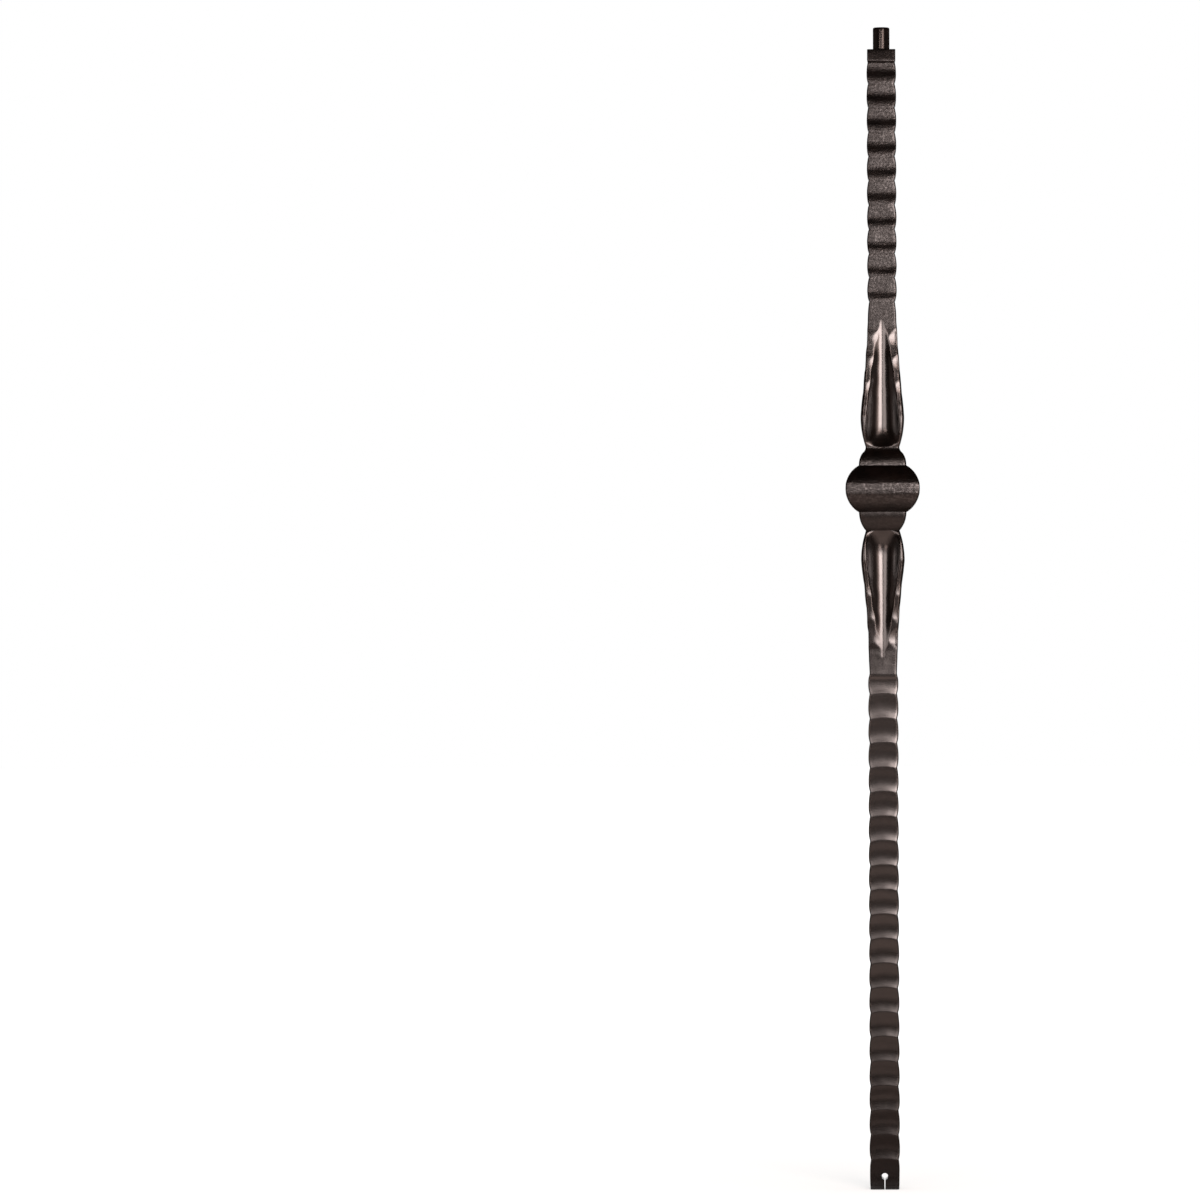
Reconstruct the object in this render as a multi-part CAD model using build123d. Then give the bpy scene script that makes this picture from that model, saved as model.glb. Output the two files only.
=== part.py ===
from build123d import *
from math import atan2, cos, degrees, sin, sqrt, tan
import os

# Iron newel post in millimetres: a hammered square bar, forged near its middle into a square knuckle
# between two fluted spears, with a turned pin on top and a drilled and split foot.
# +Z is up, the origin is the middle of the foot's end, and the front face looks along -Y.

# Heights above the foot
bar_length = 1195.5           # to the shoulder under the pin
knuckle_height = 734.7        # to the middle of the knuckle

# Pin on the shoulder, which enters the handrail
pin_diameter = 17.4
pin_length = 23.5
pin_edge_radius = 1.6

# Hammered bar: the front and back are struck hollow, and the iron spreads into bulges at the sides
hammer_pitch = 25.4           # between blows, before it is fitted to the length of a run
crest_depth = 30.8            # front to back, over the crests between the hollows
hollow_sink = 1.1             # of a hollow's floor below the crests
upper_notch_width = 26.6      # side to side, in the notches between the bulges
upper_bulge_width = 30.5
lower_notch_width = 28.6
lower_bulge_width = 31.7
bar_corner = 1.7              # each leg of the broken corners

# Ends of the bar: a foot with one bulge, and a plain head that steps out over the last notch
foot_width = 30.2
foot_bulge_width = 31.0
foot_bulge_height = 19.5
foot_notch_height = 30.8
head_width = 29.6
head_length = 12.9

# Knuckle: a barrel between two collars, of which the upper one is upright at its edge
knuckle_width = 78.0
barrel_height = 49.0
collar_width = 49.6
collar_height = 19.4
collar_band_height = 5.0
collar_band_crown = 0.15
collar_bend_height = 13.0     # from the barrel to where the upper collar turns hollow
collar_bend_width = 42.2
neck_width = 35.4
knuckle_corner = 1.9

# Spears: they swell from the neck to a shoulder, then taper to the bar in soft ripples
shoulder_width = 45.8
shoulder_length = 31.2        # from the neck
taper_length = 100.2          # from the shoulder to the spear's end
spear_end_width = 30.0
shoulder_corner = 3.6
ripple_count = 4
ripple_height = 0.55
upper_plain_length = 21.0     # from the spear's end to the first groove of the bar
lower_plain_length = 13.0

# Flutes: a tapered, round-nosed groove in each face of a spear, which runs out to a point
flute_radius = 19.4           # at the blunt end
flute_point_radius = 10.5
flute_nose_radius = 11.5      # of the blunt end's rounding
flute_core = 22.6             # between the floors of opposite flutes, at the shoulder
flute_neck_margin = 0.2       # from the neck to the flute's blunt end
flute_point_margin = 2.5      # from the flute's point to the spear's end

# Foot: a cross hole, and a saw slit from it to the end
cross_hole_diameter = 7.0
cross_hole_height = 13.8
slit_width = 1.0

# Heights above the middle of the knuckle, the same for both spears
neck_rise = barrel_height / 2 + collar_height
shoulder_rise = neck_rise + shoulder_length
spear_end_rise = shoulder_rise + taper_length


def station(width, height, corner):
    return Vector(width / 2, height, corner)


def bow(low, high, rise):
    # One arc that stands out from the straight line between two stations.
    return [(low, (low + high) / 2 + Vector(rise, 0, 0), high)]


def upright_arc(crest, end, count=1):
    # A run of arcs on the circle that leaves the crest upright and reaches the end.
    drop = crest.X - end.X
    run = end.Y - crest.Y
    curvature = 2 * drop / (drop**2 + run**2)
    stations = []
    for index in range(2 * count + 1):
        share = index / (2 * count)
        bend = curvature * run * share
        half = crest.X - bend * run * share / (1 + sqrt(1 - bend**2))
        corner = crest.Z + (end.Z - crest.Z) * share
        stations.append(Vector(half, crest.Y + run * share, corner))
    return [tuple(stations[2 * index:2 * index + 3]) for index in range(count)]


def hammered_run(low_height, high_height, width, rise):
    # Equal arcs from blow to blow, which bulge out of a side or sink into the front.
    run_length = high_height - low_height
    count = max(1, round(run_length / hammer_pitch))
    arcs = []
    for index in range(count):
        heights = [low_height + run_length * step / count for step in (index, index + 1)]
        low, high = [station(width, height, bar_corner) for height in heights]
        arcs += bow(low, high, rise)
    return arcs


def outline_slab(arcs, reach):
    # The arcs' outline on both sides of the post's axis, as thick as the post is wide.
    side = Curve() + [ThreePointArc(*arc) for arc in arcs]
    ends = side.vertices().sort_by(Axis.Y)
    edges = [side, mirror(side, Plane.YZ)]
    for corner in (ends[0], ends[-1]):
        edges.append(Line((-corner.X, corner.Y), (corner.X, corner.Y)))
    return extrude(Plane.XZ * make_face(edges), reach, both=True)


def square_length(side_arcs, front_arcs):
    # Two slabs crossed at right angles make the square, and two across its corners break them.
    side = []
    front = []
    diagonal = []
    for side_arc, front_arc in zip(side_arcs, front_arcs):
        side.append([(point.X, point.Y) for point in side_arc])
        front.append([(point.X, point.Y) for point in front_arc])
        pairs = zip(side_arc, front_arc)
        diagonal.append([((one.X + other.X - one.Z) / sqrt(2), one.Y) for one, other in pairs])
    reach = 2 * max(point.X for arc in side_arcs + front_arcs for point in arc)
    length = outline_slab(side, reach) & Rot(0, 0, 90) * outline_slab(front, reach)
    corners = outline_slab(diagonal, reach)
    return length & Rot(0, 0, 45) * corners & Rot(0, 0, 135) * corners


def knuckle():
    middle = station(knuckle_width, 0, knuckle_corner)
    edge = station(collar_width, barrel_height / 2, knuckle_corner)
    band = station(collar_width, edge.Y + collar_band_height, knuckle_corner)
    bend = station(collar_bend_width, edge.Y + collar_bend_height, knuckle_corner)
    neck = station(neck_width, neck_rise, knuckle_corner)
    barrel = upright_arc(middle, edge, 2)
    upper_collar = bow(edge, band, collar_band_crown) + upright_arc(band, bend) + upright_arc(neck, bend)
    upper_arcs = barrel + upper_collar
    lower_arcs = barrel + upright_arc(edge, neck, 2)
    return square_length(upper_arcs, upper_arcs) + mirror(square_length(lower_arcs, lower_arcs), Plane.XY)


def flute_cutter():
    # The cutter is a cone that lies along the flute's sloping floor, in front of the -Y face.
    core_half = flute_core / 2
    point_rise = spear_end_rise - flute_point_margin
    nose_rise = neck_rise + flute_neck_margin
    floor_slope = atan2(spear_end_width / 2 - core_half, point_rise - shoulder_rise)
    nose_floor = core_half - tan(floor_slope) * (shoulder_rise - nose_rise)
    length = (spear_end_rise - nose_rise) / cos(floor_slope)
    tilt = floor_slope - atan2(flute_radius - flute_point_radius, length)
    cutter = Cone(flute_radius, flute_point_radius, length, align=(Align.CENTER, Align.CENTER, Align.MIN))
    cutter = fillet(cutter.edges().group_by(Axis.Z)[0], flute_nose_radius)
    centre = (0, -nose_floor - flute_radius * cos(tilt), nose_rise - flute_radius * sin(tilt))
    return Pos(*centre) * Rot(degrees(tilt), 0, 0) * cutter


def spear():
    neck = station(neck_width, neck_rise, knuckle_corner)
    shoulder = station(shoulder_width, shoulder_rise, shoulder_corner)
    end = station(spear_end_width, spear_end_rise, bar_corner)
    arcs = upright_arc(shoulder, neck, 2)
    for index in range(ripple_count):
        low, high = [shoulder + (end - shoulder) * (step / ripple_count) for step in (index, index + 1)]
        arcs += bow(low, high, ripple_height)
    cutter = flute_cutter()
    return square_length(arcs, arcs) - [Rot(0, 0, 90 * face) * cutter for face in range(4)]


def lower_bar():
    toe = station(foot_width, 0, bar_corner)
    end = station(spear_end_width, knuckle_height - spear_end_rise, bar_corner)
    run_top = end.Y - lower_plain_length
    bulge = station(foot_bulge_width, foot_bulge_height, bar_corner)
    low_notch = station(lower_notch_width, foot_notch_height, bar_corner)
    top_notch = station(lower_notch_width, run_top, bar_corner)
    side_arcs = upright_arc(bulge, toe) + upright_arc(bulge, low_notch)
    bulge_rise = (lower_bulge_width - lower_notch_width) / 2
    side_arcs += hammered_run(low_notch.Y, run_top, lower_notch_width, bulge_rise)
    side_arcs += upright_arc(end, top_notch)
    hollow = station(crest_depth - 2 * hollow_sink, foot_bulge_height, bar_corner)
    low_crest = station(crest_depth, foot_notch_height, bar_corner)
    top_crest = station(crest_depth, run_top, bar_corner)
    front_arcs = upright_arc(hollow, toe) + upright_arc(hollow, low_crest)
    front_arcs += hammered_run(low_crest.Y, run_top, crest_depth, -hollow_sink) + upright_arc(end, top_crest)
    hole = Pos(0, 0, cross_hole_height) * Rot(90, 0, 0) * Cylinder(cross_hole_diameter / 2, 2 * crest_depth)
    slit = Box(slit_width, 2 * crest_depth, 2 * cross_hole_height)
    return square_length(side_arcs, front_arcs) - [hole, slit]


def upper_bar():
    end = station(spear_end_width, knuckle_height + spear_end_rise, bar_corner)
    run_low = end.Y + upper_plain_length
    run_top = bar_length - head_length
    bulge_rise = (upper_bulge_width - upper_notch_width) / 2
    side_arcs = upright_arc(end, station(upper_notch_width, run_low, bar_corner))
    side_arcs += hammered_run(run_low, run_top, upper_notch_width, bulge_rise)
    front_arcs = upright_arc(end, station(crest_depth, run_low, bar_corner))
    front_arcs += hammered_run(run_low, run_top, crest_depth, -hollow_sink)
    return square_length(side_arcs, front_arcs)


def head():
    face = chamfer(Rectangle(head_width, head_width).vertices(), bar_corner)
    return Pos(0, 0, bar_length - head_length) * extrude(face, head_length)


def pin():
    shank = Cylinder(pin_diameter / 2, pin_length, align=(Align.CENTER, Align.CENTER, Align.MIN))
    shank = fillet(shank.edges().group_by(Axis.Z)[-1], pin_edge_radius)
    return Pos(0, 0, bar_length) * shank


upper_spear = spear()
lower_spear = mirror(upper_spear, Plane.XY)
centre = [Pos(0, 0, knuckle_height) * piece for piece in (lower_spear, knuckle(), upper_spear)]
newel_post = lower_bar() + centre + [upper_bar(), head(), pin()]

os.makedirs("parts", exist_ok=True)
export_step(newel_post, "parts/newel_post.step")
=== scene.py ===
import math

import bmesh
import bpy
from mathutils import Matrix, Vector, noise


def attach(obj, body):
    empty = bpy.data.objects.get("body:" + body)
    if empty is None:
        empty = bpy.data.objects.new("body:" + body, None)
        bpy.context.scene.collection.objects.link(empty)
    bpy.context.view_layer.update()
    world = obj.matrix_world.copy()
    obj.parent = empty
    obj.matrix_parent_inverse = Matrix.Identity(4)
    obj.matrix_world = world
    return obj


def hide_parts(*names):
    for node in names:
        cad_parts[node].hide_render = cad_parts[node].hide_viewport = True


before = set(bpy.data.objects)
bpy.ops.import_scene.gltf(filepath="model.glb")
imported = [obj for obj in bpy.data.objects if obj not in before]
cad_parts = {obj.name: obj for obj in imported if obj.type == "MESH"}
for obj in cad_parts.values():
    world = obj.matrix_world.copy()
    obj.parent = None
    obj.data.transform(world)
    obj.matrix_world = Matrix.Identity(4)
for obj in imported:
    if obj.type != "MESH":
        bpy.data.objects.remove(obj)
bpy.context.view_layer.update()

mm = 0.001

# sizes in millimetres, heights from the foot
bar = dict(
    shoulder=1195.5, headLine=1182.6, upperRun=930.7, lowerRun=545.0, footCrest=30.5, footHollow=19.5,
    upperBlows=10, lowerBlows=20,
    upperPitch=25.43, crestStart=933.5, crestPitch=25.82,      # notches at the sides, and crests of the front
    crestHalf=15.4, footSink=0.85, lowerSpearEnd=14.5,
    # slope in degrees up the struck hollows of the front and back, by share of the pitch from the crest below
    upperSlopes=((0, 2.2), (0.06, 5), (0.13, 11.5), (0.21, 8.8), (0.31, 2.4), (0.41, -2.8), (0.53, -5.6),
                 (0.7, -6.2), (0.8, -4.2), (0.88, -1.4), (1, 2.2)),
    lowerSlopes=((0, 9.5), (0.11, 8.4), (0.19, 5.2), (0.26, 2), (0.34, -0.4), (0.45, -2.6), (0.6, -4.8),
                 (0.75, -6.5), (0.88, -5.5), (1, -1.5)),
    footSlopes=(10, 9.5, 8.5, 7.3, 5.5, 1, -5, -8.5, -7, -2.5),    # at the same shares, near the foot
    footBlend=(420, 40),                                       # heights between which the slopes change
    upperNotch=13.5, notchGrowth=0.06, upperBulge=15.45,       # bulges at the sides
    lowerNotch=14.3, lowerBulge=15.85,
    upperTurn=0.47, lowerTurn=0.39,                            # where a bulge is widest, as a share of the pitch
    nickSink=0.3, faceNick=0.1, nickReach=2.2,                 # the narrow nick in each notch of the upper run
    lowerShine=0.85, wornEdge=5,                               # how far the lower run is rubbed smooth at its top
    toeHalf=15.1, headHalf=14.8, endRound=0.6, cornerRound=1.5,
    headTilt=0.04, headEase=0.45, headEaseReach=2,             # the head leans back over a soft lower edge
    upperArch=-0.6, lowerArch=1.9,                             # how far a crest rises in the middle of the face
    upperArchIn=(9.6, 13), upperArchOut=(1, -12), lowerArchIn=(8, 16), lowerArchOut=8,     # where the arch sets in
    topDrop=4.0, topDropIn=(-4.6, 0), topDropOut=(12, 1))      # the lower run's top crest is struck down
knuckle = dict(
    middle=734.7, barrelHalf=39.0, barrelReach=24.5, collarHalf=24.85, bandReach=25.4,
    bendReach=37.5, bendHalf=21.1, neckReach=43.9, neckHalf=17.7, cornerRound=2.0)
spear = dict(
    shoulderReach=75.1, shoulderHalf=22.9, endReach=175.3, endHalf=15.0, cornerRound=3.2,
    upperFlare=1.3, lowerFlare=1.65, ripples=4, sideRipple=0.32, frontRipple=0.35, frontShift=0.54,
    rippleIn=0.12, rippleOut=0.92,                             # shares of the taper that the front's ripples fade over
    joinReach=8, seam=1.6)                                     # past its end, where the coarse rows of the bar join
flute = dict(
    pointRadius=10.5, bluntRadius=19.4, swell=0.8, floorAtShoulder=11.3, neckGap=-0.3, pointGap=-1.5,
    swellIn=(0.02, 0.2), swellOut=(0.62, 0.35), tail=4,        # shares of the length that are swollen
    bowlLength=28.0, bowlRise=7.8, bowlTurn=2.5,               # rounded end at the neck
    noseLength=9.0, noseTurn=3, noseRound=0.33, leastDeep=0.02, leastWide=0.5,
    bowlShine=0.2, bowlShineReach=(12, 27), landShine=0.5, landShineReach=(35, 60), grooveShine=0.14,
    lipSoft=1.6, lipGrowth=0.09, lipLength=100, pointSoft=0.35, softReach=14,      # roundness of the rims
    lipFloor=0.3, lipShare=0.5, wallLimit=0.97, wallReach=1.15, wallPast=0.5,
    tipFlare=3.5, tipReach=(42, 4), rimWave=0.4, waveIn=(10, 24), waveOut=(96, 76),
    facets=(20, 45, 71), facetSink=0.42, facetTilt=0.1, facetBow=0.0055,           # flats struck along the rims
    facetStep=1.5, farSink=0.1, farTilt=0.8)
columns = dict(                                                # steps across half a face of the post
    coarse=7, floor=8, lip=5, land=4, corner=3, lipHalf=1.5, leastRim=5.0, leastLand=2.2, plainRim=0.45)


def blend(low, high, value):
    share = min(max((value - low) / (high - low), 0.0), 1.0)
    return share * share * (3 - 2 * share)


def uprightArc(crest, end, run, along):
    drop = crest - end                                         # circle that leaves the crest upright
    bend = 2 * drop / (drop * drop + run * run) * along
    return crest - bend * along / (1 + math.sqrt(max(1 - bend * bend, 0)))


def blow(share, turn):
    reach = turn if share < turn else 1 - turn                 # two arcs that meet sharply in the notches
    return 1 - ((share - turn) / reach) ** 2


def sunk(slopes, share):                                       # depth of a hollow, as a share of the pitch
    deep, total = None, 0
    for (low, lowSlope), (high, highSlope) in zip(slopes, slopes[1:]):
        first, last = math.tan(math.radians(lowSlope)), math.tan(math.radians(highSlope))
        if deep is None and share <= high:
            along = share - low
            deep = total + first * along + (last - first) * along ** 2 / (2 * (high - low))
        total += (high - low) * (first + last) / 2
    return deep - total * share


def upperNotch(count):                                         # height of a notch of the upper run
    return min(bar["upperRun"] + bar["upperPitch"] * count, bar["headLine"])


def runShare(height):
    if height < bar["lowerRun"]:
        pitch = (bar["lowerRun"] - bar["footCrest"]) / bar["lowerBlows"]
        place = (height - bar["footCrest"]) / pitch
        return place - math.floor(place + 1e-9), pitch
    for count in range(bar["upperBlows"]):
        low, high = upperNotch(count), upperNotch(count + 1)
        if height < high - 1e-9 or count == bar["upperBlows"] - 1:
            return max((height - low) / (high - low), 0), high - low


def knuckleHalf(rise):
    reach = abs(rise)
    k = knuckle
    if reach <= k["barrelReach"]:
        return uprightArc(k["barrelHalf"], k["collarHalf"], k["barrelReach"], reach)
    if rise < 0:                                               # lower collar, one round
        return uprightArc(k["collarHalf"], k["neckHalf"], k["neckReach"] - k["barrelReach"],
                          reach - k["barrelReach"])
    if reach <= k["bandReach"]:                                # upper collar: upright band, then a hollow slope
        return k["collarHalf"]
    if reach <= k["bendReach"]:
        return uprightArc(k["collarHalf"], k["bendHalf"], k["bendReach"] - k["bandReach"],
                          reach - k["bandReach"])
    return uprightArc(k["neckHalf"], k["bendHalf"], k["neckReach"] - k["bendReach"], k["neckReach"] - reach)


def spearHalf(rise, ripple, shift=0):
    s = spear
    reach = abs(rise)
    if reach <= s["shoulderReach"]:
        return uprightArc(s["shoulderHalf"], knuckle["neckHalf"], s["shoulderReach"] - knuckle["neckReach"],
                          s["shoulderReach"] - reach)
    share = (reach - s["shoulderReach"]) / (s["endReach"] - s["shoulderReach"])
    swing = (share * s["ripples"] + shift) % 1
    if shift:
        ripple *= blend(0, s["rippleIn"], share) * blend(1, s["rippleOut"], share)
    flare = (1 - share) ** (s["upperFlare"] if rise > 0 else s["lowerFlare"])
    return s["endHalf"] + (s["shoulderHalf"] - s["endHalf"]) * flare + ripple * 4 * swing * (1 - swing)


def thinned(reach):                                            # how far the lower spear is thinner toward its end
    return (spear["endHalf"] - bar["lowerSpearEnd"]) * blend(spear["shoulderReach"], spear["endReach"], reach)


def halfWidths(height):                                        # side and front half widths of the post
    rise = height - knuckle["middle"]
    reach = abs(rise)
    if reach <= knuckle["neckReach"]:
        half = knuckleHalf(rise)
        return half, half
    if reach <= spear["endReach"]:
        front = spearHalf(rise, -spear["frontRipple"], spear["frontShift"])
        if rise < 0:
            front -= thinned(reach)
        return spearHalf(rise, spear["sideRipple"]), front
    crest = bar["crestHalf"]
    upper = rise > 0
    notch = bar["upperNotch"] if upper else bar["lowerNotch"]
    if bar["lowerRun"] < height < bar["upperRun"]:             # plain stretches beside the spears
        runEnd = bar["upperRun"] if upper else bar["lowerRun"]
        away = abs(runEnd - knuckle["middle"]) - spear["endReach"]
        along = reach - spear["endReach"]
        frontEnd = spear["endHalf"] if upper else bar["lowerSpearEnd"]
        return uprightArc(spear["endHalf"], notch, away, along), uprightArc(frontEnd, crest, away, along)
    if height < bar["footCrest"]:
        hollow = crest - bar["footSink"]
        bulge = (bar["lowerBulge"] + bar["toeHalf"]) / 2
        away = height - bar["footHollow"]
        if away < 0:
            share = (away / bar["footHollow"]) ** 2
            return bulge + (bar["toeHalf"] - bulge) * share, hollow + (bar["toeHalf"] - hollow) * share
        share = (away / (bar["footCrest"] - bar["footHollow"])) ** 2
        return bulge + (notch - bulge) * share, hollow + (crest - hollow) * share
    if height > bar["headLine"]:
        above = height - bar["headLine"]
        half = bar["headHalf"] - bar["headEase"] * max(1 - above / bar["headEaseReach"], 0) ** 2
        return half, half - bar["headTilt"] * above
    share, pitch = runShare(height)
    if not upper:
        struck = notch + (bar["lowerBulge"] - notch) * blow(share, bar["lowerTurn"])
        near = blend(*bar["footBlend"], height)
        pairs = zip(bar["lowerSlopes"], bar["footSlopes"])
        slopes = [(at, slope + (foot - slope) * near) for (at, slope), foot in pairs]
        return struck, crest - pitch * sunk(slopes, share)
    near = max(0, 1 - min(share, 1 - share) * pitch / bar["nickReach"])
    place = (height - bar["crestStart"]) / bar["crestPitch"]   # crests of the upper run lie above the notches
    deep = bar["crestPitch"] * sunk(bar["upperSlopes"], place - math.floor(place + 1e-9)) if place > 0 else 0
    notch += bar["notchGrowth"] * (height - bar["upperRun"]) / bar["upperPitch"]
    struck = notch + (bar["upperBulge"] - notch) * blow(share, bar["upperTurn"])
    return struck - bar["nickSink"] * near, crest - deep - bar["faceNick"] * near


def cornerRound(height):
    reach = abs(height - knuckle["middle"])
    if reach < knuckle["neckReach"]:
        return knuckle["cornerRound"]
    if reach < spear["shoulderReach"]:
        share = blend(knuckle["neckReach"], spear["shoulderReach"], reach)
        return knuckle["cornerRound"] + (spear["cornerRound"] - knuckle["cornerRound"]) * share
    return spear["cornerRound"] + (bar["cornerRound"] - spear["cornerRound"]) * blend(
        spear["shoulderReach"], spear["endReach"], reach)


def fluteSection(height, half):                                # half width and depth of the flute, and its place
    reach = abs(height - knuckle["middle"])
    noseReach = knuckle["neckReach"] + flute["neckGap"]
    pointReach = spear["endReach"] - flute["pointGap"]
    if not noseReach < reach < pointReach + flute["tail"]:
        return None
    slope = (spear["endHalf"] - flute["floorAtShoulder"]) / (pointReach - spear["shoulderReach"])
    floor = flute["floorAtShoulder"] + slope * (reach - spear["shoulderReach"])
    if height < knuckle["middle"]:
        floor -= thinned(reach)
    share = (reach - noseReach) / (pointReach - noseReach)
    radius = flute["bluntRadius"] + (flute["pointRadius"] - flute["bluntRadius"]) * share
    radius += flute["swell"] * blend(*flute["swellOut"], share) * blend(*flute["swellIn"], share)
    radius += flute["tipFlare"] * blend(*flute["tipReach"], pointReach - reach)
    deep = half - floor
    wide = math.sqrt(max(radius ** 2 - (radius - deep) ** 2, 0))
    fromNose = reach - noseReach
    fromPoint = pointReach - reach
    swing = 2 * math.pi * (fromPoint - flute["facets"][0]) / (flute["facets"][1] - flute["facets"][0])
    wave = flute["rimWave"] * math.sin(swing) * blend(*flute["waveIn"], fromPoint)
    wide += wave * blend(*flute["waveOut"], fromPoint)
    if fromNose < flute["bowlLength"]:
        deep -= flute["bowlRise"] * (1 - fromNose / flute["bowlLength"]) ** flute["bowlTurn"]
    if fromNose < flute["noseLength"]:
        wide *= (1 - (1 - fromNose / flute["noseLength"]) ** flute["noseTurn"]) ** flute["noseRound"]
    if deep < flute["leastDeep"] or wide < flute["leastWide"]:
        return None
    return wide, deep, fromPoint, fromNose


def fluteDepth(across, section):
    if section is None:
        return 0.0
    wide, deep, fromPoint, _ = section
    radius = (wide ** 2 + deep ** 2) / (2 * deep)
    limit = min(flute["wallLimit"] * radius, flute["wallReach"] * wide + flute["wallPast"])
    reachAcross = min(abs(across), limit)
    down = deep - radius + math.sqrt(radius ** 2 - reachAcross ** 2)
    down -= (abs(across) - reachAcross) * reachAcross / math.sqrt(radius ** 2 - reachAcross ** 2)
    soft = flute["lipSoft"] + flute["lipGrowth"] * min(fromPoint, flute["lipLength"]) / 10
    soft *= flute["pointSoft"] + (1 - flute["pointSoft"]) * blend(0, flute["softReach"], fromPoint)
    soft = min(soft, flute["lipFloor"] + flute["lipShare"] * deep)
    if down >= soft:
        return down
    return (down + soft) ** 2 / (4 * soft) if down > -soft else 0.0


def facetDepth(across, section):                               # flats of the last blows, beside the flute's rims
    if section is None:
        return 0.0
    wide, _, fromPoint, _ = section
    outward = abs(across) - wide
    cut = 0.0
    for facet in flute["facets"]:
        along = fromPoint - facet - math.copysign(flute["facetStep"], across)
        if across < 0:                                         # one rim tips into the flute, the other to the corner
            flat = flute["facetSink"] - flute["facetTilt"] * outward
        else:
            flat = flute["farSink"] * flute["facetSink"] + flute["farTilt"] * flute["facetTilt"] * outward
        cut = max(cut, flat - flute["facetBow"] * along ** 2)
    return cut


def columnPlaces(flat, section, fine):                         # columns from the middle of a face to its corner
    c = columns
    if not fine:
        return [flat * step / c["coarse"] for step in range(c["coarse"] + 1)]
    rim = min(max(section[0] if section else c["plainRim"] * flat, c["leastRim"]), flat - c["leastLand"])
    lip = c["lipHalf"]
    places = [(rim - lip) * step / c["floor"] for step in range(c["floor"])]
    places += [rim - lip + 2 * lip * step / c["lip"] for step in range(c["lip"] + 1)]
    places += [rim + lip + (flat - rim - lip) * step / c["land"] for step in range(1, c["land"] + 1)]
    return places


def addFace(mesh, polish, rows, fine, front):                  # one face of the post, corner to corner
    c = columns
    halfCount = c["corner"] + (c["floor"] + c["lip"] + c["land"] if fine else c["coarse"])
    made = bmesh.ops.create_grid(mesh, x_segments=2 * halfCount, y_segments=len(rows) - 1, size=0.5)["verts"]
    shaped = {}
    for vert in made:
        column = round((vert.co.x + 0.5) * 2 * halfCount) - halfCount
        row = round((vert.co.y + 0.5) * (len(rows) - 1))
        if row not in shaped:
            shaped[row] = shapeRow(rows[row], front, fine)
        across, out, up, smooth = shaped[row][column + halfCount]
        vert.co = (across, -out, up) if front else (out, across, up)
        vert[polish] = smooth
    faces = list({face for vert in made for face in vert.link_faces})
    edges = list({edge for face in faces for edge in face.edges})
    bmesh.ops.spin(mesh, geom=made + edges + faces, cent=(0, 0, 0), axis=(0, 0, 1), angle=math.pi, steps=1,
                   use_duplicate=True)


def shapeRow(row, front, fine):                                # points of one row: across, out, up and polish
    height, inset = row
    side, face = halfWidths(height)
    wide, deep = (side, face) if front else (face, side)
    wide -= inset
    deep -= inset
    corner = cornerRound(height)
    flat = wide - corner
    section = fluteSection(height, deep) if fine else None
    reach = abs(height - knuckle["middle"])
    drop = 0
    if height > knuckle["middle"]:
        arch = bar["upperArch"] * blend(*bar["upperArchIn"], reach - spear["endReach"])
        arch *= blend(*bar["upperArchOut"], height - bar["headLine"])
    else:
        below = bar["lowerRun"] - height
        arch = bar["lowerArch"] * blend(*bar["lowerArchIn"], below)
        arch *= blend(bar["lowerArchOut"], bar["footCrest"], height)
        drop = bar["topDrop"] * blend(*bar["topDropIn"], below) * blend(*bar["topDropOut"], below)
    half = [(place, deep, 1) for place in columnPlaces(flat, section, fine)]
    for step in range(1, columns["corner"] + 1):
        share = step / columns["corner"]
        turn = math.pi / 4 * share
        half.append((flat + corner * math.sin(turn), deep - corner + corner * math.cos(turn), 1 - share))
    worn = bar["lowerShine"] * height / bar["lowerRun"]
    worn *= blend(bar["wornEdge"], -bar["wornEdge"], height - bar["lowerRun"])
    shine = 1
    if section:
        shine = flute["bowlShine"] + (1 - flute["bowlShine"]) * blend(*flute["bowlShineReach"], section[3])
        worn = flute["landShine"] * blend(*flute["landShineReach"], section[2])
    points = []
    for place, out, hold in [(-place, out, hold) for place, out, hold in reversed(half[1:])] + half:
        groove = max(fluteDepth(place, section) if hold == 1 else 0, facetDepth(place, section) * hold)
        up = height - drop + arch * (1 - (place / half[-1][0]) ** 2)
        points.append((place, out - groove, up, max(blend(0, flute["grooveShine"], groove) * shine, worn)))
    return points


def lowerRunRows():                                            # rows through every turn of a run's hollows
    pitch = (bar["lowerRun"] - bar["footCrest"]) / bar["lowerBlows"]
    shares = sorted([share for share, slope in bar["lowerSlopes"][:-1]] + [0.03, 0.12, 0.62, 0.78, 0.97])
    return [bar["footCrest"] + pitch * (count + share) for count in range(bar["lowerBlows"]) for share in shares]


def upperRunRows():
    places = []
    for count in range(bar["upperBlows"]):
        low, high = upperNotch(count), upperNotch(count + 1)
        places += [low + step for step in (0, 0.75, 2, 4, 8, 13, 18)] + [high - 2, high - 0.75]
        crest = bar["crestStart"] + bar["crestPitch"] * count
        places += [crest + bar["crestPitch"] * share for share, slope in bar["upperSlopes"][:-1]] + [crest - 0.8]
    rows = []
    for place in sorted(places):
        if place < bar["headLine"] - 0.2 and (not rows or place - rows[-1] > 0.3):
            rows.append(place)
    return rows


def evenRows(low, high, spacing):
    count = max(1, math.ceil((high - low) / spacing))
    return [low + (high - low) * step / count for step in range(count)]


def ringEdges(mesh, height, near=1.5):
    return [edge for edge in mesh.edges
            if edge.is_boundary and all(abs(vert.co.z - height) < near for vert in edge.verts)]


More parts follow.
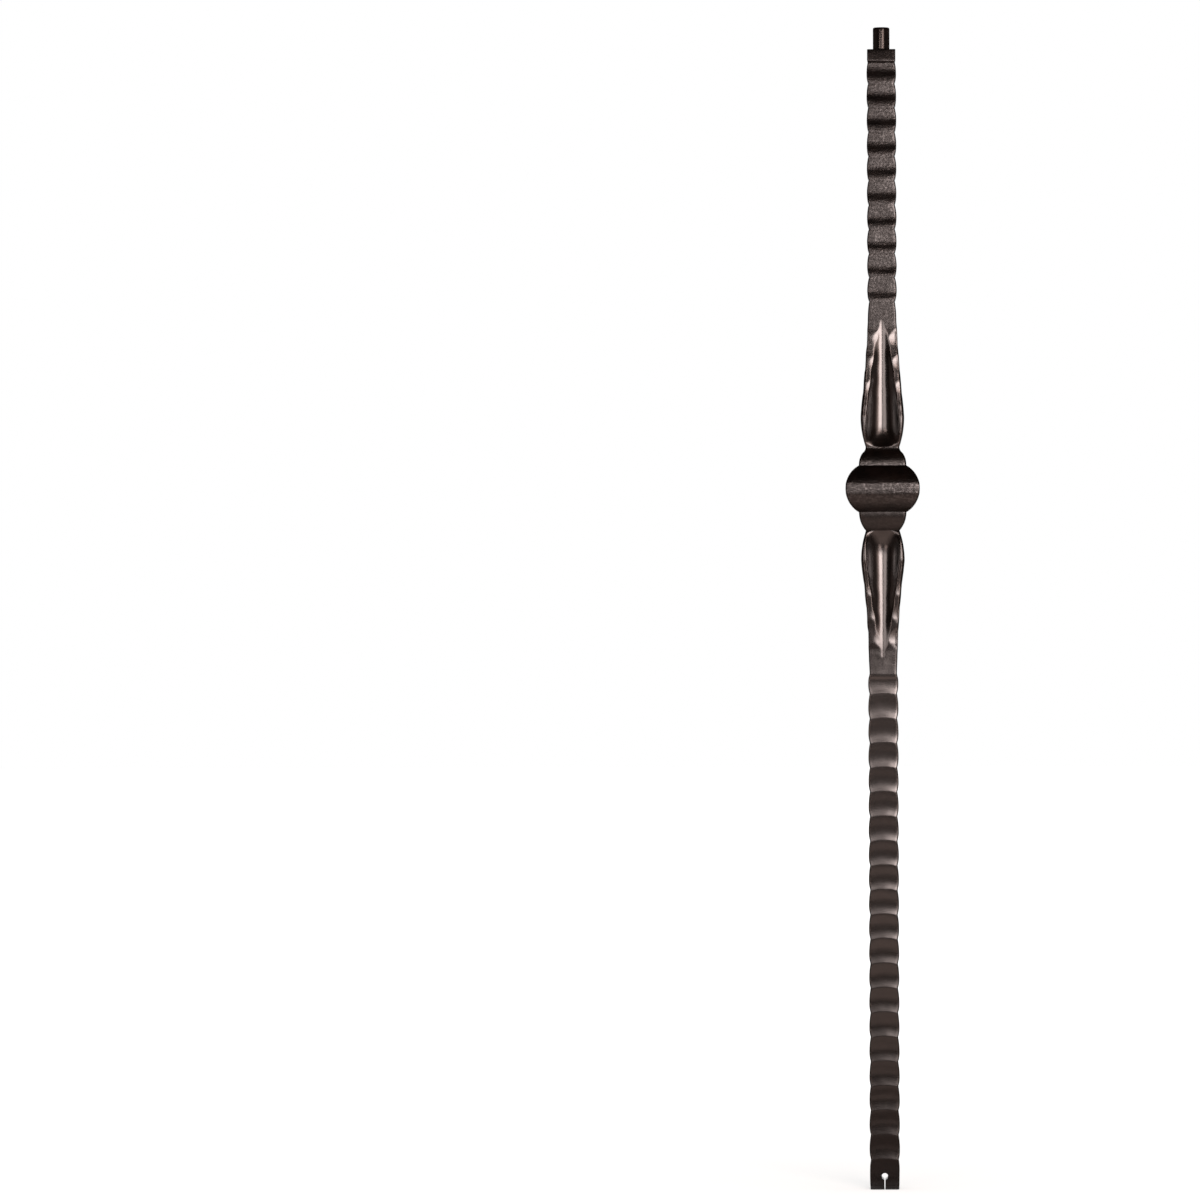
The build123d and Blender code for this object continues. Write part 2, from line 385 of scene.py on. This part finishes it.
def makePost():
    mesh = bmesh.new()
    polish = mesh.verts.layers.float.new("polish")
    middle, neck = knuckle["middle"], knuckle["neckReach"]
    joinReach, seam = spear["endReach"] + spear["joinReach"], spear["seam"]
    lowJoin, highJoin = middle - joinReach, middle + joinReach
    bowl = 62                                                  # reach of the rows that round the flutes' ends
    edgeRound = bar["endRound"]

    lowRows = [(0, edgeRound), (0.15, 0.3 * edgeRound), (edgeRound, 0)]
    lowRows += [(z, 0) for z in evenRows(1.5, bar["footCrest"], 1.6)]
    lowRows += [(z, 0) for z in lowerRunRows()]
    lowRows += [(z, 0) for z in evenRows(bar["lowerRun"], lowJoin - seam, 1.6)] + [(lowJoin - seam, 0)]

    shoulder, barrel = spear["shoulderReach"], knuckle["barrelReach"]
    spans = (                                                  # from, to and spacing of the fine rows
        (lowJoin, middle - shoulder, 1.25), (middle - shoulder, middle - bowl, 1.2),
        (middle - bowl, middle - neck, 0.7), (middle - neck, middle - barrel, 1.0),
        (middle - barrel, middle + barrel, 1.4), (middle + barrel, middle + neck, 0.8),
        (middle + neck, middle + bowl, 0.7), (middle + bowl, middle + shoulder, 1.2),
        (middle + shoulder, highJoin, 1.25))
    centreRows = [(z, 0) for low, high, spacing in spans for z in evenRows(low, high, spacing)]
    centreRows.append((highJoin, 0))

    highRows = [(z, 0) for z in evenRows(highJoin + seam, bar["upperRun"], 1.8)]
    highRows += [(z, 0) for z in upperRunRows()]
    highRows += [(bar["headLine"] + step, 0) for step in (0.05, 0.5, 1.0, 1.5)]
    highRows += [(z, 0) for z in evenRows(bar["headLine"] + 2, bar["shoulder"] - 0.8, 2.2)]
    top = bar["shoulder"]
    highRows += [(top - edgeRound, 0), (top - 0.3 * edgeRound, 0.12 * edgeRound),
                 (top - 0.1 * edgeRound, 0.4 * edgeRound), (top, edgeRound)]

    for rows, fine in ((lowRows, False), (centreRows, True), (highRows, False)):
        for front in (True, False):
            addFace(mesh, polish, rows, fine, front)
    bmesh.ops.remove_doubles(mesh, verts=mesh.verts, dist=0.003)
    for low, high in ((lowJoin - seam, lowJoin), (highJoin, highJoin + seam)):
        bmesh.ops.bridge_loops(mesh, edges=ringEdges(mesh, (low + high) / 2))
    addPin(mesh, polish)
    bmesh.ops.holes_fill(mesh, edges=ringEdges(mesh, 0), sides=0)
    bmesh.ops.recalc_face_normals(mesh, faces=mesh.faces)
    roughen(mesh, polish)
    bmesh.ops.scale(mesh, vec=(mm, mm, mm), verts=mesh.verts)
    data = bpy.data.meshes.new("newel_post_forged")
    mesh.to_mesh(data)
    mesh.free()
    post = bpy.data.objects.new("newel_post_forged", data)
    bpy.context.scene.collection.objects.link(post)
    return post


pin = dict(radius=8.7, top=1218.95, edgeRound=1.6, edgeSteps=5, rootRound=0.5, rootStep=0.15,
           rings=(1.2, 2.5, 7, 12, 17, 20), steps=72)          # rings keep the shading of its wall straight


def addPin(mesh, polish):
    foot = bar["shoulder"]
    outline = [(pin["radius"] + pin["rootRound"], foot), (pin["radius"] + pin["rootStep"], foot + pin["rootStep"]),
               (pin["radius"], foot + pin["rootRound"])]
    outline += [(pin["radius"], foot + up) for up in pin["rings"]]
    outline.append((pin["radius"], pin["top"] - pin["edgeRound"]))
    for step in range(1, pin["edgeSteps"] + 1):
        turn = math.pi / 2 * step / pin["edgeSteps"]
        outline.append((pin["radius"] - pin["edgeRound"] * (1 - math.cos(turn)),
                        pin["top"] - pin["edgeRound"] * (1 - math.sin(turn))))
    verts = [mesh.verts.new((radius, 0, up)) for radius, up in outline]
    edges = [mesh.edges.new(pair) for pair in zip(verts, verts[1:])]
    for vert in verts:
        vert[polish] = 1
    bmesh.ops.spin(mesh, geom=verts + edges, cent=(0, 0, 0), axis=(0, 0, 1), angle=2 * math.pi, steps=pin["steps"],
                   use_merge=True)
    bmesh.ops.remove_doubles(mesh, verts=[v for v in mesh.verts if v.co.z > foot - 0.01], dist=0.003)
    bmesh.ops.bridge_loops(mesh, edges=ringEdges(mesh, foot))
    bmesh.ops.holes_fill(mesh, edges=ringEdges(mesh, pin["top"]), sides=0)


wander = dict(broad=0.16, broadSize=19.0, fine=0.07, fineSize=6.0, lift=0.45, liftSize=34.0,
              footReach=6, headReach=5, polishHold=0.75,
              knuckleInset=0.2, knuckleFrom=38.7)              # keeps the knuckle inside its width


def roughen(mesh, polish):                                     # uneven forging, kept off the pin and the ends
    mesh.normal_update()
    moves = []
    for vert in mesh.verts:
        spot = vert.co.copy()
        hold = blend(0, wander["footReach"], spot.z) * (1 - wander["polishHold"] * vert[polish])
        hold *= blend(bar["shoulder"], bar["shoulder"] - wander["headReach"], spot.z)
        swell = wander["broad"] * noise.noise(spot / wander["broadSize"])
        swell += wander["fine"] * noise.noise(spot / wander["fineSize"] + Vector((7, 3, 1)))
        lift = wander["lift"] * noise.noise(spot / wander["liftSize"] + Vector((2, 9, 4)))
        inset = wander["knuckleInset"] if max(abs(spot.x), abs(spot.y)) > wander["knuckleFrom"] else 0
        moves.append((vert.normal * (swell - inset) + Vector((0, 0, lift * (1 - vert[polish])))) * hold)
    for vert, move in zip(mesh.verts, moves):
        vert.co += move


footCut = dict(holeRadius=3.5, holeHeight=13.8, flare=0.5, rimDeep=14.4, reach=20, steps=40,
               slitHalf=0.5, slitLong=60, slitBelow=4)


def cutFoot(post):
    mesh = bmesh.new()                                         # cross hole with a broken rim, front to back
    cut = footCut
    rim, deep = cut["holeRadius"] + cut["flare"], cut["rimDeep"]
    outline = [(0, -cut["reach"]), (rim, -cut["reach"]), (rim, -deep), (cut["holeRadius"], -deep + cut["flare"])]
    outline += [(radius, -along) for radius, along in reversed(outline)]
    verts = [mesh.verts.new((radius, along, cut["holeHeight"])) for radius, along in outline]
    edges = [mesh.edges.new(pair) for pair in zip(verts, verts[1:])]
    bmesh.ops.spin(mesh, geom=verts + edges, cent=(0, 0, cut["holeHeight"]), axis=(0, 1, 0), angle=2 * math.pi,
                   steps=cut["steps"], use_merge=True)
    bmesh.ops.remove_doubles(mesh, verts=mesh.verts, dist=0.002)
    bmesh.ops.recalc_face_normals(mesh, faces=mesh.faces)
    hole = cutter(mesh, "foot_hole")
    mesh = bmesh.new()                                         # saw slit from the hole to the end
    bmesh.ops.create_cube(mesh, size=1)
    tall = cut["holeHeight"] + cut["slitBelow"]
    bmesh.ops.scale(mesh, vec=(2 * cut["slitHalf"], cut["slitLong"], tall), verts=mesh.verts)
    bmesh.ops.translate(mesh, vec=(0, 0, (cut["holeHeight"] - cut["slitBelow"]) / 2), verts=mesh.verts)
    slit = cutter(mesh, "foot_slit")
    for tool in (hole, slit):
        cutAway = post.modifiers.new(tool.name, "BOOLEAN")
        cutAway.operation = "DIFFERENCE"
        cutAway.solver = "EXACT"
        cutAway.object = tool
    cutMesh = bpy.data.meshes.new_from_object(post.evaluated_get(bpy.context.evaluated_depsgraph_get()))
    post.modifiers.clear()
    post.data = cutMesh
    for tool in (hole, slit):
        bpy.data.objects.remove(tool)


def cutter(mesh, name):
    bmesh.ops.scale(mesh, vec=(mm, mm, mm), verts=mesh.verts)
    data = bpy.data.meshes.new(name)
    mesh.to_mesh(data)
    mesh.free()
    tool = bpy.data.objects.new(name, data)
    bpy.context.scene.collection.objects.link(tool)
    bpy.context.view_layer.update()
    return tool


def smoothFaces(post, sharpAngle=38):
    mesh = bmesh.new()
    mesh.from_mesh(post.data)
    for face in mesh.faces:
        face.smooth = True
    for edge in mesh.edges:
        edge.smooth = not (len(edge.link_faces) == 2 and edge.calc_face_angle(0) > math.radians(sharpAngle))
    mesh.to_mesh(post.data)
    print("post:", len(mesh.verts), "points,", sum(len(f.verts) - 2 for f in mesh.faces), "triangles,",
          sum(1 for e in mesh.edges if not e.is_manifold), "open edges")
    mesh.free()


post = makePost()
cutFoot(post)
smoothFaces(post)
print("post modelled")


def linear(hexColour):
    channels = [int(hexColour[place:place + 2], 16) / 255 for place in (1, 3, 5)]
    return [c / 12.92 if c <= 0.04045 else ((c + 0.055) / 1.055) ** 2.4 for c in channels] + [1]


def addNode(tree, kind, links=(), settings=None, **values):    # one node with its settings and links
    node = tree.nodes.new(kind)
    for name, value in (settings or {}).items():
        setattr(node, name, value)
    for name, value in values.items():
        node.inputs[name.replace("_", " ")].default_value = value
    for source, target in links:
        tree.links.new(source, node.inputs[target])
    return node


coat = dict(
    dark="#060302", brown="#130b08", darkAt=0.35, brownAt=0.7, ior=1.45,
    sandGrain=2.5, scaleWide=9.0, scaleTall=2.0, blotch=14.0, streakShare=0.7,     # sizes in millimetres
    grit=((0, 0.12), (712, 0.2), (731, 1.0), (778.5, 1.0), (779.5, 0.5), (925, 0.5), (940, 0.7), (1180, 0.7),
          (1184, 0.3)),                                        # strength of the grit by height
    sandDepth=0.22, sandRough=0.24, smoothRough=0.19, rubbedAt=0.4, rubbedBump=0.07,
    spotGlaze=0.55, spotFrom=0.79, spotTo=1.0, glazeRough=0.2, glazeIor=1.7)


def coatedIron():
    # bronze-black baked coat over forged iron: near black with a warm cast, satin and sandy on the bar,
    # rubbed smooth and glossy in the flutes and on the pin
    material = bpy.data.materials.new("bronze_black_coated_iron")
    material.use_nodes = True
    tree = material.node_tree
    tree.nodes.clear()
    place = addNode(tree, "ShaderNodeTexCoord").outputs["Object"]
    smooth = addNode(tree, "ShaderNodeAttribute", settings={"attribute_name": "polish"}).outputs["Fac"]
    blotch = addNode(tree, "ShaderNodeTexNoise", [(place, "Vector")], Scale=1 / (coat["blotch"] * mm),
                     Detail=3.0)
    # real grit is finer than a pixel of the full view, so it is drawn coarser to show
    sand = addNode(tree, "ShaderNodeTexNoise", [(place, "Vector")], Scale=1 / (coat["sandGrain"] * mm),
                   Detail=2.0)
    # scale hammered in across the bar: short level streaks
    wide, tall = 1 / (coat["scaleWide"] * mm), 1 / (coat["scaleTall"] * mm)
    across = addNode(tree, "ShaderNodeMapping", [(place, "Vector")], Scale=(wide, wide, tall))
    scale = addNode(tree, "ShaderNodeTexNoise", [(across.outputs["Vector"], "Vector")], Scale=1.0, Detail=2.0)
    grain = addNode(tree, "ShaderNodeMath", [(scale.outputs["Fac"], 0), (sand.outputs["Fac"], 2)],
                    settings={"operation": "MULTIPLY_ADD"})
    grain.inputs[1].default_value = coat["streakShare"]
    # grit left by the fire: strong on the knuckle's upper half, thin on the upper bar, rubbed off below
    height = addNode(tree, "ShaderNodeSeparateXYZ", [(place, "Vector")]).outputs["Z"]
    height = addNode(tree, "ShaderNodeMapRange", [(height, "Value")], From_Max=pin["top"] * mm).outputs["Result"]
    grit = addNode(tree, "ShaderNodeValToRGB", [(height, "Fac")])
    stops = grit.color_ramp.elements
    stops.remove(stops[1])
    for count, (level, share) in enumerate(coat["grit"]):
        stop = stops.new(level / pin["top"]) if count else stops[0]
        stop.color = (share, share, share, 1)
    grit = grit.outputs["Color"]
    tone = addNode(tree, "ShaderNodeValToRGB", [(blotch.outputs["Fac"], "Fac")])
    for count, shade in enumerate(("dark", "brown")):
        stop = tone.color_ramp.elements[count]
        stop.position, stop.color = coat[shade + "At"], linear(coat[shade])
    rough = addNode(tree, "ShaderNodeMapRange", [(smooth, "Value")], To_Min=coat["sandRough"],
                    To_Max=coat["smoothRough"])
    depth = addNode(tree, "ShaderNodeMapRange", [(smooth, "Value")], From_Max=coat["rubbedAt"], To_Min=1.0,
                    To_Max=coat["rubbedBump"])
    depth = addNode(tree, "ShaderNodeMath", [(depth.outputs["Result"], 0), (grit, 1)],
                    settings={"operation": "MULTIPLY"})
    bump = addNode(tree, "ShaderNodeBump", [(grain.outputs[0], "Height"), (depth.outputs[0], "Strength")],
                   Distance=coat["sandDepth"] * mm)
    shader = addNode(tree, "ShaderNodeBsdfPrincipled", [
        (tone.outputs["Color"], "Base Color"), (rough.outputs["Result"], "Roughness"),
        (bump.outputs["Normal"], "Normal"), (bump.outputs["Normal"], "Coat Normal")])
    shader.inputs["IOR"].default_value = coat["ior"]
    # the tops of the grit are glazed, and the rubbed parts are glazed all over
    glazed = addNode(tree, "ShaderNodeMath", [(grit, 0)], settings={"operation": "MULTIPLY"})
    glazed.inputs[1].default_value = coat["spotGlaze"]
    spots = addNode(tree, "ShaderNodeMapRange", [(grain.outputs[0], "Value"), (glazed.outputs[0], "To Max")],
                    From_Min=coat["spotFrom"], From_Max=coat["spotTo"])
    glaze = addNode(tree, "ShaderNodeMix", [(smooth, "Factor"), (spots.outputs["Result"], "A")], B=1.0)
    tree.links.new(glaze.outputs["Result"], shader.inputs["Coat Weight"])
    shader.inputs["Coat Roughness"].default_value = coat["glazeRough"]
    shader.inputs["Coat IOR"].default_value = coat["glazeIor"]
    addNode(tree, "ShaderNodeOutputMaterial", [(shader.outputs["BSDF"], "Surface")])
    return material


post.data.materials.clear()
post.data.materials.append(coatedIron())
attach(post, "root")
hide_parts("newel_post")
print("finish applied")

studio = dict(                                                 # sizes in metres
    floorSize=40.0, floorColour="#f4f3f1", nearGlow=0.62, farGlow=1.02, glowReach=2.2, fill=0.28,
    boxAway=1.55, boxGap=0.1, boxWide=0.6, boxLow=0.37, boxHigh=1.17,
    boxTiers=(0.16, 0.35, 0.6, 0.88, 1.0, 1.0, 0.85, 0.45),    # brightness up the boxes, from the lowest tier
    rightGlow=11.5, leftGlow=3.6, lampColour="#ffebe5", cardColour="#ffddd0",
    roomCards=(                                                # name, width, height, middle, upright, brightness
        ("dark_room_left", 9, 6, (-4.5, -2.3, 3.02), True, 0.02),
        ("dim_room_right", 9, 6, (4.5, -2.3, 3.02), True, 0.11),
        ("dark_room_over", 9, 3, (0, -2.28, 2.75), True, 0.02),
        ("dark_room_ceiling", 10, 10, (0, -3.5, 3.2), False, 0.02),
        ("dark_room_back", 12, 3, (0, 2.5, 2.8), True, 0.02),
        ("low_card_behind", 8, 3, (0, 1.46, 0.004), False, 0.12)),
    outerCards=((0.7, 0.9, 3.2), (0.9, 1.15, 1.5), (1.15, 1.5, 0.6)), outerLow=0.55,       # beside the right box
    rimCards=((0.2, 0.75, 1.17, 1.23, 17.0), (-0.75, -0.2, 1.17, 1.23, 11.0), (0.35, 0.75, 0.22, 0.37, 8.0),
              (-0.75, -0.35, 0.22, 0.37, 6.0)),                # left, right, low, high, brightness
    pinCard=(0.5, 1.15, 1.26, 1.55, 2.3),
    sideAway=4.0, sideWide=9, sideTall=4, sideGlow=0.15, sideTop=1.42, aboveGlow=0.02,
    lowSides=((0.45, 1.0), (0.9, 0.65), (1.4, 0.35), (4.0, 0.12)),         # half width and share of the lit floor
    lowCards=((0.04, 0.3, 0.4), (0.3, 0.5, 0.85), (0.5, 0.8, 0.95), (0.8, 1.4, 1.0), (1.4, 1.8, 0.65),
              (1.8, 2.3, 0.4)), lowHeight=0.012, lowStep=0.002)            # near, far, brightness


def seenRays(tree):                                            # rays that show the pale background
    rays = addNode(tree, "ShaderNodeLightPath")
    seen = addNode(tree, "ShaderNodeMath", [(rays.outputs["Is Camera Ray"], 0), (rays.outputs["Is Glossy Ray"], 1)],
                   settings={"operation": "MAXIMUM"})
    return addNode(tree, "ShaderNodeMath", [(seen.outputs[0], 0), (rays.outputs["Is Transmission Ray"], 1)],
                   settings={"operation": "MAXIMUM"}).outputs[0]


def paleFloor():
    # white paper floor: plain white to the eye, with the post's own soft shadow near the foot
    material = bpy.data.materials.new("pale_paper_floor")
    material.use_nodes = True
    tree = material.node_tree
    tree.nodes.clear()
    matte = addNode(tree, "ShaderNodeBsdfDiffuse")
    matte.inputs["Color"].default_value = linear(studio["floorColour"])
    place = addNode(tree, "ShaderNodeTexCoord").outputs["Object"]
    away = addNode(tree, "ShaderNodeVectorMath", [(place, 0)], settings={"operation": "LENGTH"}).outputs["Value"]
    glow = addNode(tree, "ShaderNodeMapRange", [(away, "Value")], From_Max=studio["glowReach"],
                   To_Min=studio["nearGlow"], To_Max=studio["farGlow"]).outputs["Result"]
    glow = addNode(tree, "ShaderNodeMath", [(seenRays(tree), 0), (glow, 1)],
                   settings={"operation": "MULTIPLY"})
    light = addNode(tree, "ShaderNodeEmission", [(glow.outputs[0], "Strength")])
    both = addNode(tree, "ShaderNodeAddShader", [(matte.outputs[0], 0), (light.outputs[0], 1)])
    addNode(tree, "ShaderNodeOutputMaterial", [(both.outputs[0], "Surface")])
    return material


def cardGlow(name, strength):                                  # evenly lit card
    material = bpy.data.materials.new(name)
    material.use_nodes = True
    tree = material.node_tree
    tree.nodes.clear()
    light = addNode(tree, "ShaderNodeEmission", Color=linear(studio["cardColour"]), Strength=strength)
    addNode(tree, "ShaderNodeOutputMaterial", [(light.outputs[0], "Surface")])
    return material


def addCard(name, wide, tall, middle, upright, glow, turned=False):     # a card seen in reflections alone
    mesh = bmesh.new()
    bmesh.ops.create_grid(mesh, x_segments=1, y_segments=1, size=0.5)
    bmesh.ops.scale(mesh, vec=(wide, tall, 1), verts=mesh.verts)
    if upright:
        bmesh.ops.rotate(mesh, cent=(0, 0, 0), matrix=Matrix.Rotation(-math.pi / 2, 3, "X"), verts=mesh.verts)
    if turned:
        bmesh.ops.rotate(mesh, cent=(0, 0, 0), matrix=Matrix.Rotation(math.pi / 2, 3, "Z"), verts=mesh.verts)
    bmesh.ops.translate(mesh, vec=middle, verts=mesh.verts)
    card = stagePlane(mesh, name)
    card.data.materials.append(cardGlow(name, glow))
    card.visible_camera = card.visible_diffuse = card.visible_shadow = card.visible_transmission = False


def addLamp(name, sideways, low, high, glow):                  # one tier of a soft box
    light = bpy.data.lights.new(name, "AREA")
    light.shape = "RECTANGLE"
    light.size = studio["boxWide"]
    light.size_y = high - low
    light.color = linear(studio["lampColour"])[:3]
    light.energy = glow * light.size * light.size_y * math.pi
    lamp = bpy.data.objects.new(name, light)
    lamp.location = (sideways * (studio["boxGap"] + studio["boxWide"] / 2), -studio["boxAway"], (high + low) / 2)
    lamp.rotation_euler = (math.pi / 2, 0, 0)
    lamp.visible_camera = False
    bpy.context.scene.collection.objects.link(lamp)


def makeStudio():
    mesh = bmesh.new()
    bmesh.ops.create_grid(mesh, x_segments=1, y_segments=1, size=studio["floorSize"] / 2)
    floor = stagePlane(mesh, "floor")
    floor.data.materials.append(paleFloor())
    for card in studio["roomCards"]:
        addCard(*card)
    for side, (half, share) in enumerate(studio["lowSides"]):  # how the lit floor in front looks to the post
        height = studio["lowHeight"] - studio["lowStep"] * side
        for place, (near, far, glow) in enumerate(studio["lowCards"]):
            addCard("low_card_%d_%d" % (side, place), 2 * half, far - near, (0, -(near + far) / 2, height), False,
                    glow * share)
    low, high = studio["outerLow"], studio["boxHigh"]
    frontCards = [("outer_card_%d" % place, (near, far, low, high, glow))
                  for place, (near, far, glow) in enumerate(studio["outerCards"])]     # the right box fades outward
    frontCards.append(("pin_card", studio["pinCard"]))         # lights the pin alone
    for place, card in enumerate(studio["rimCards"]):          # light the rims of the flutes
        frontCards.append(("rim_card_%d" % place, card))
    for name, (near, far, low, high, glow) in frontCards:
        middle = ((near + far) / 2, -studio["boxAway"], (low + high) / 2)
        addCard(name, far - near, high - low, middle, True, glow)
    top, away = studio["sideTop"], studio["sideAway"]
    for name, side in (("left", -1), ("right", 1)):            # dim sides, dark above for the edges of the pin
        addCard("dark_side_" + name, studio["sideWide"], studio["sideTall"],
                (side * away, 0, top + studio["sideTall"] / 2), True, studio["aboveGlow"], turned=True)
        addCard("dim_side_" + name, studio["sideWide"], top, (side * away, 0, top / 2), True, studio["sideGlow"],
                turned=True)
    step = (studio["boxHigh"] - studio["boxLow"]) / len(studio["boxTiers"])
    for tier, share in enumerate(studio["boxTiers"]):          # soft boxes that fade downward
        low = studio["boxLow"] + tier * step
        addLamp("soft_box_right_%d" % tier, 1, low, low + step, share * studio["rightGlow"])
        addLamp("soft_box_left_%d" % tier, -1, low, low + step, share * studio["leftGlow"])

    world = bpy.data.worlds.new("white_studio")
    bpy.context.scene.world = world
    world.use_nodes = True
    tree = world.node_tree
    tree.nodes.clear()
    strength = addNode(tree, "ShaderNodeMapRange", [(seenRays(tree), "Value")], To_Min=studio["fill"],
                       To_Max=1.0)
    back = addNode(tree, "ShaderNodeBackground", [(strength.outputs["Result"], "Strength")])
    back.inputs["Color"].default_value = (1, 1, 1, 1)
    addNode(tree, "ShaderNodeOutputWorld", [(back.outputs[0], "Surface")])


def stagePlane(mesh, name):
    data = bpy.data.meshes.new(name)
    mesh.to_mesh(data)
    mesh.free()
    plane = bpy.data.objects.new(name, data)
    bpy.context.scene.collection.objects.link(plane)
    return plane


view = dict(away=8.0, height=0.619, pixelSize=0.00105, imageSize=1200, postColumn=883.2, lean=0.19, sensor=36)


def makeCamera():
    camera = bpy.data.cameras.new("camera")
    camera.sensor_width = view["sensor"]
    aside = (view["postColumn"] - view["imageSize"] / 2) * view["pixelSize"]
    turn = math.asin(aside / view["away"] * math.cos(math.asin(aside / view["away"])))
    camera.lens = camera.sensor_width * view["away"] * math.cos(turn) / (view["imageSize"] * view["pixelSize"])
    holder = bpy.data.objects.new("camera", camera)
    holder.location = (0, -view["away"], view["height"])
    holder.rotation_euler = (math.pi / 2, math.radians(view["lean"]), turn)
    bpy.context.scene.collection.objects.link(holder)
    bpy.context.scene.camera = holder


makeStudio()
makeCamera()
bpy.context.scene.view_settings.view_transform = "Standard"
print("studio ready")
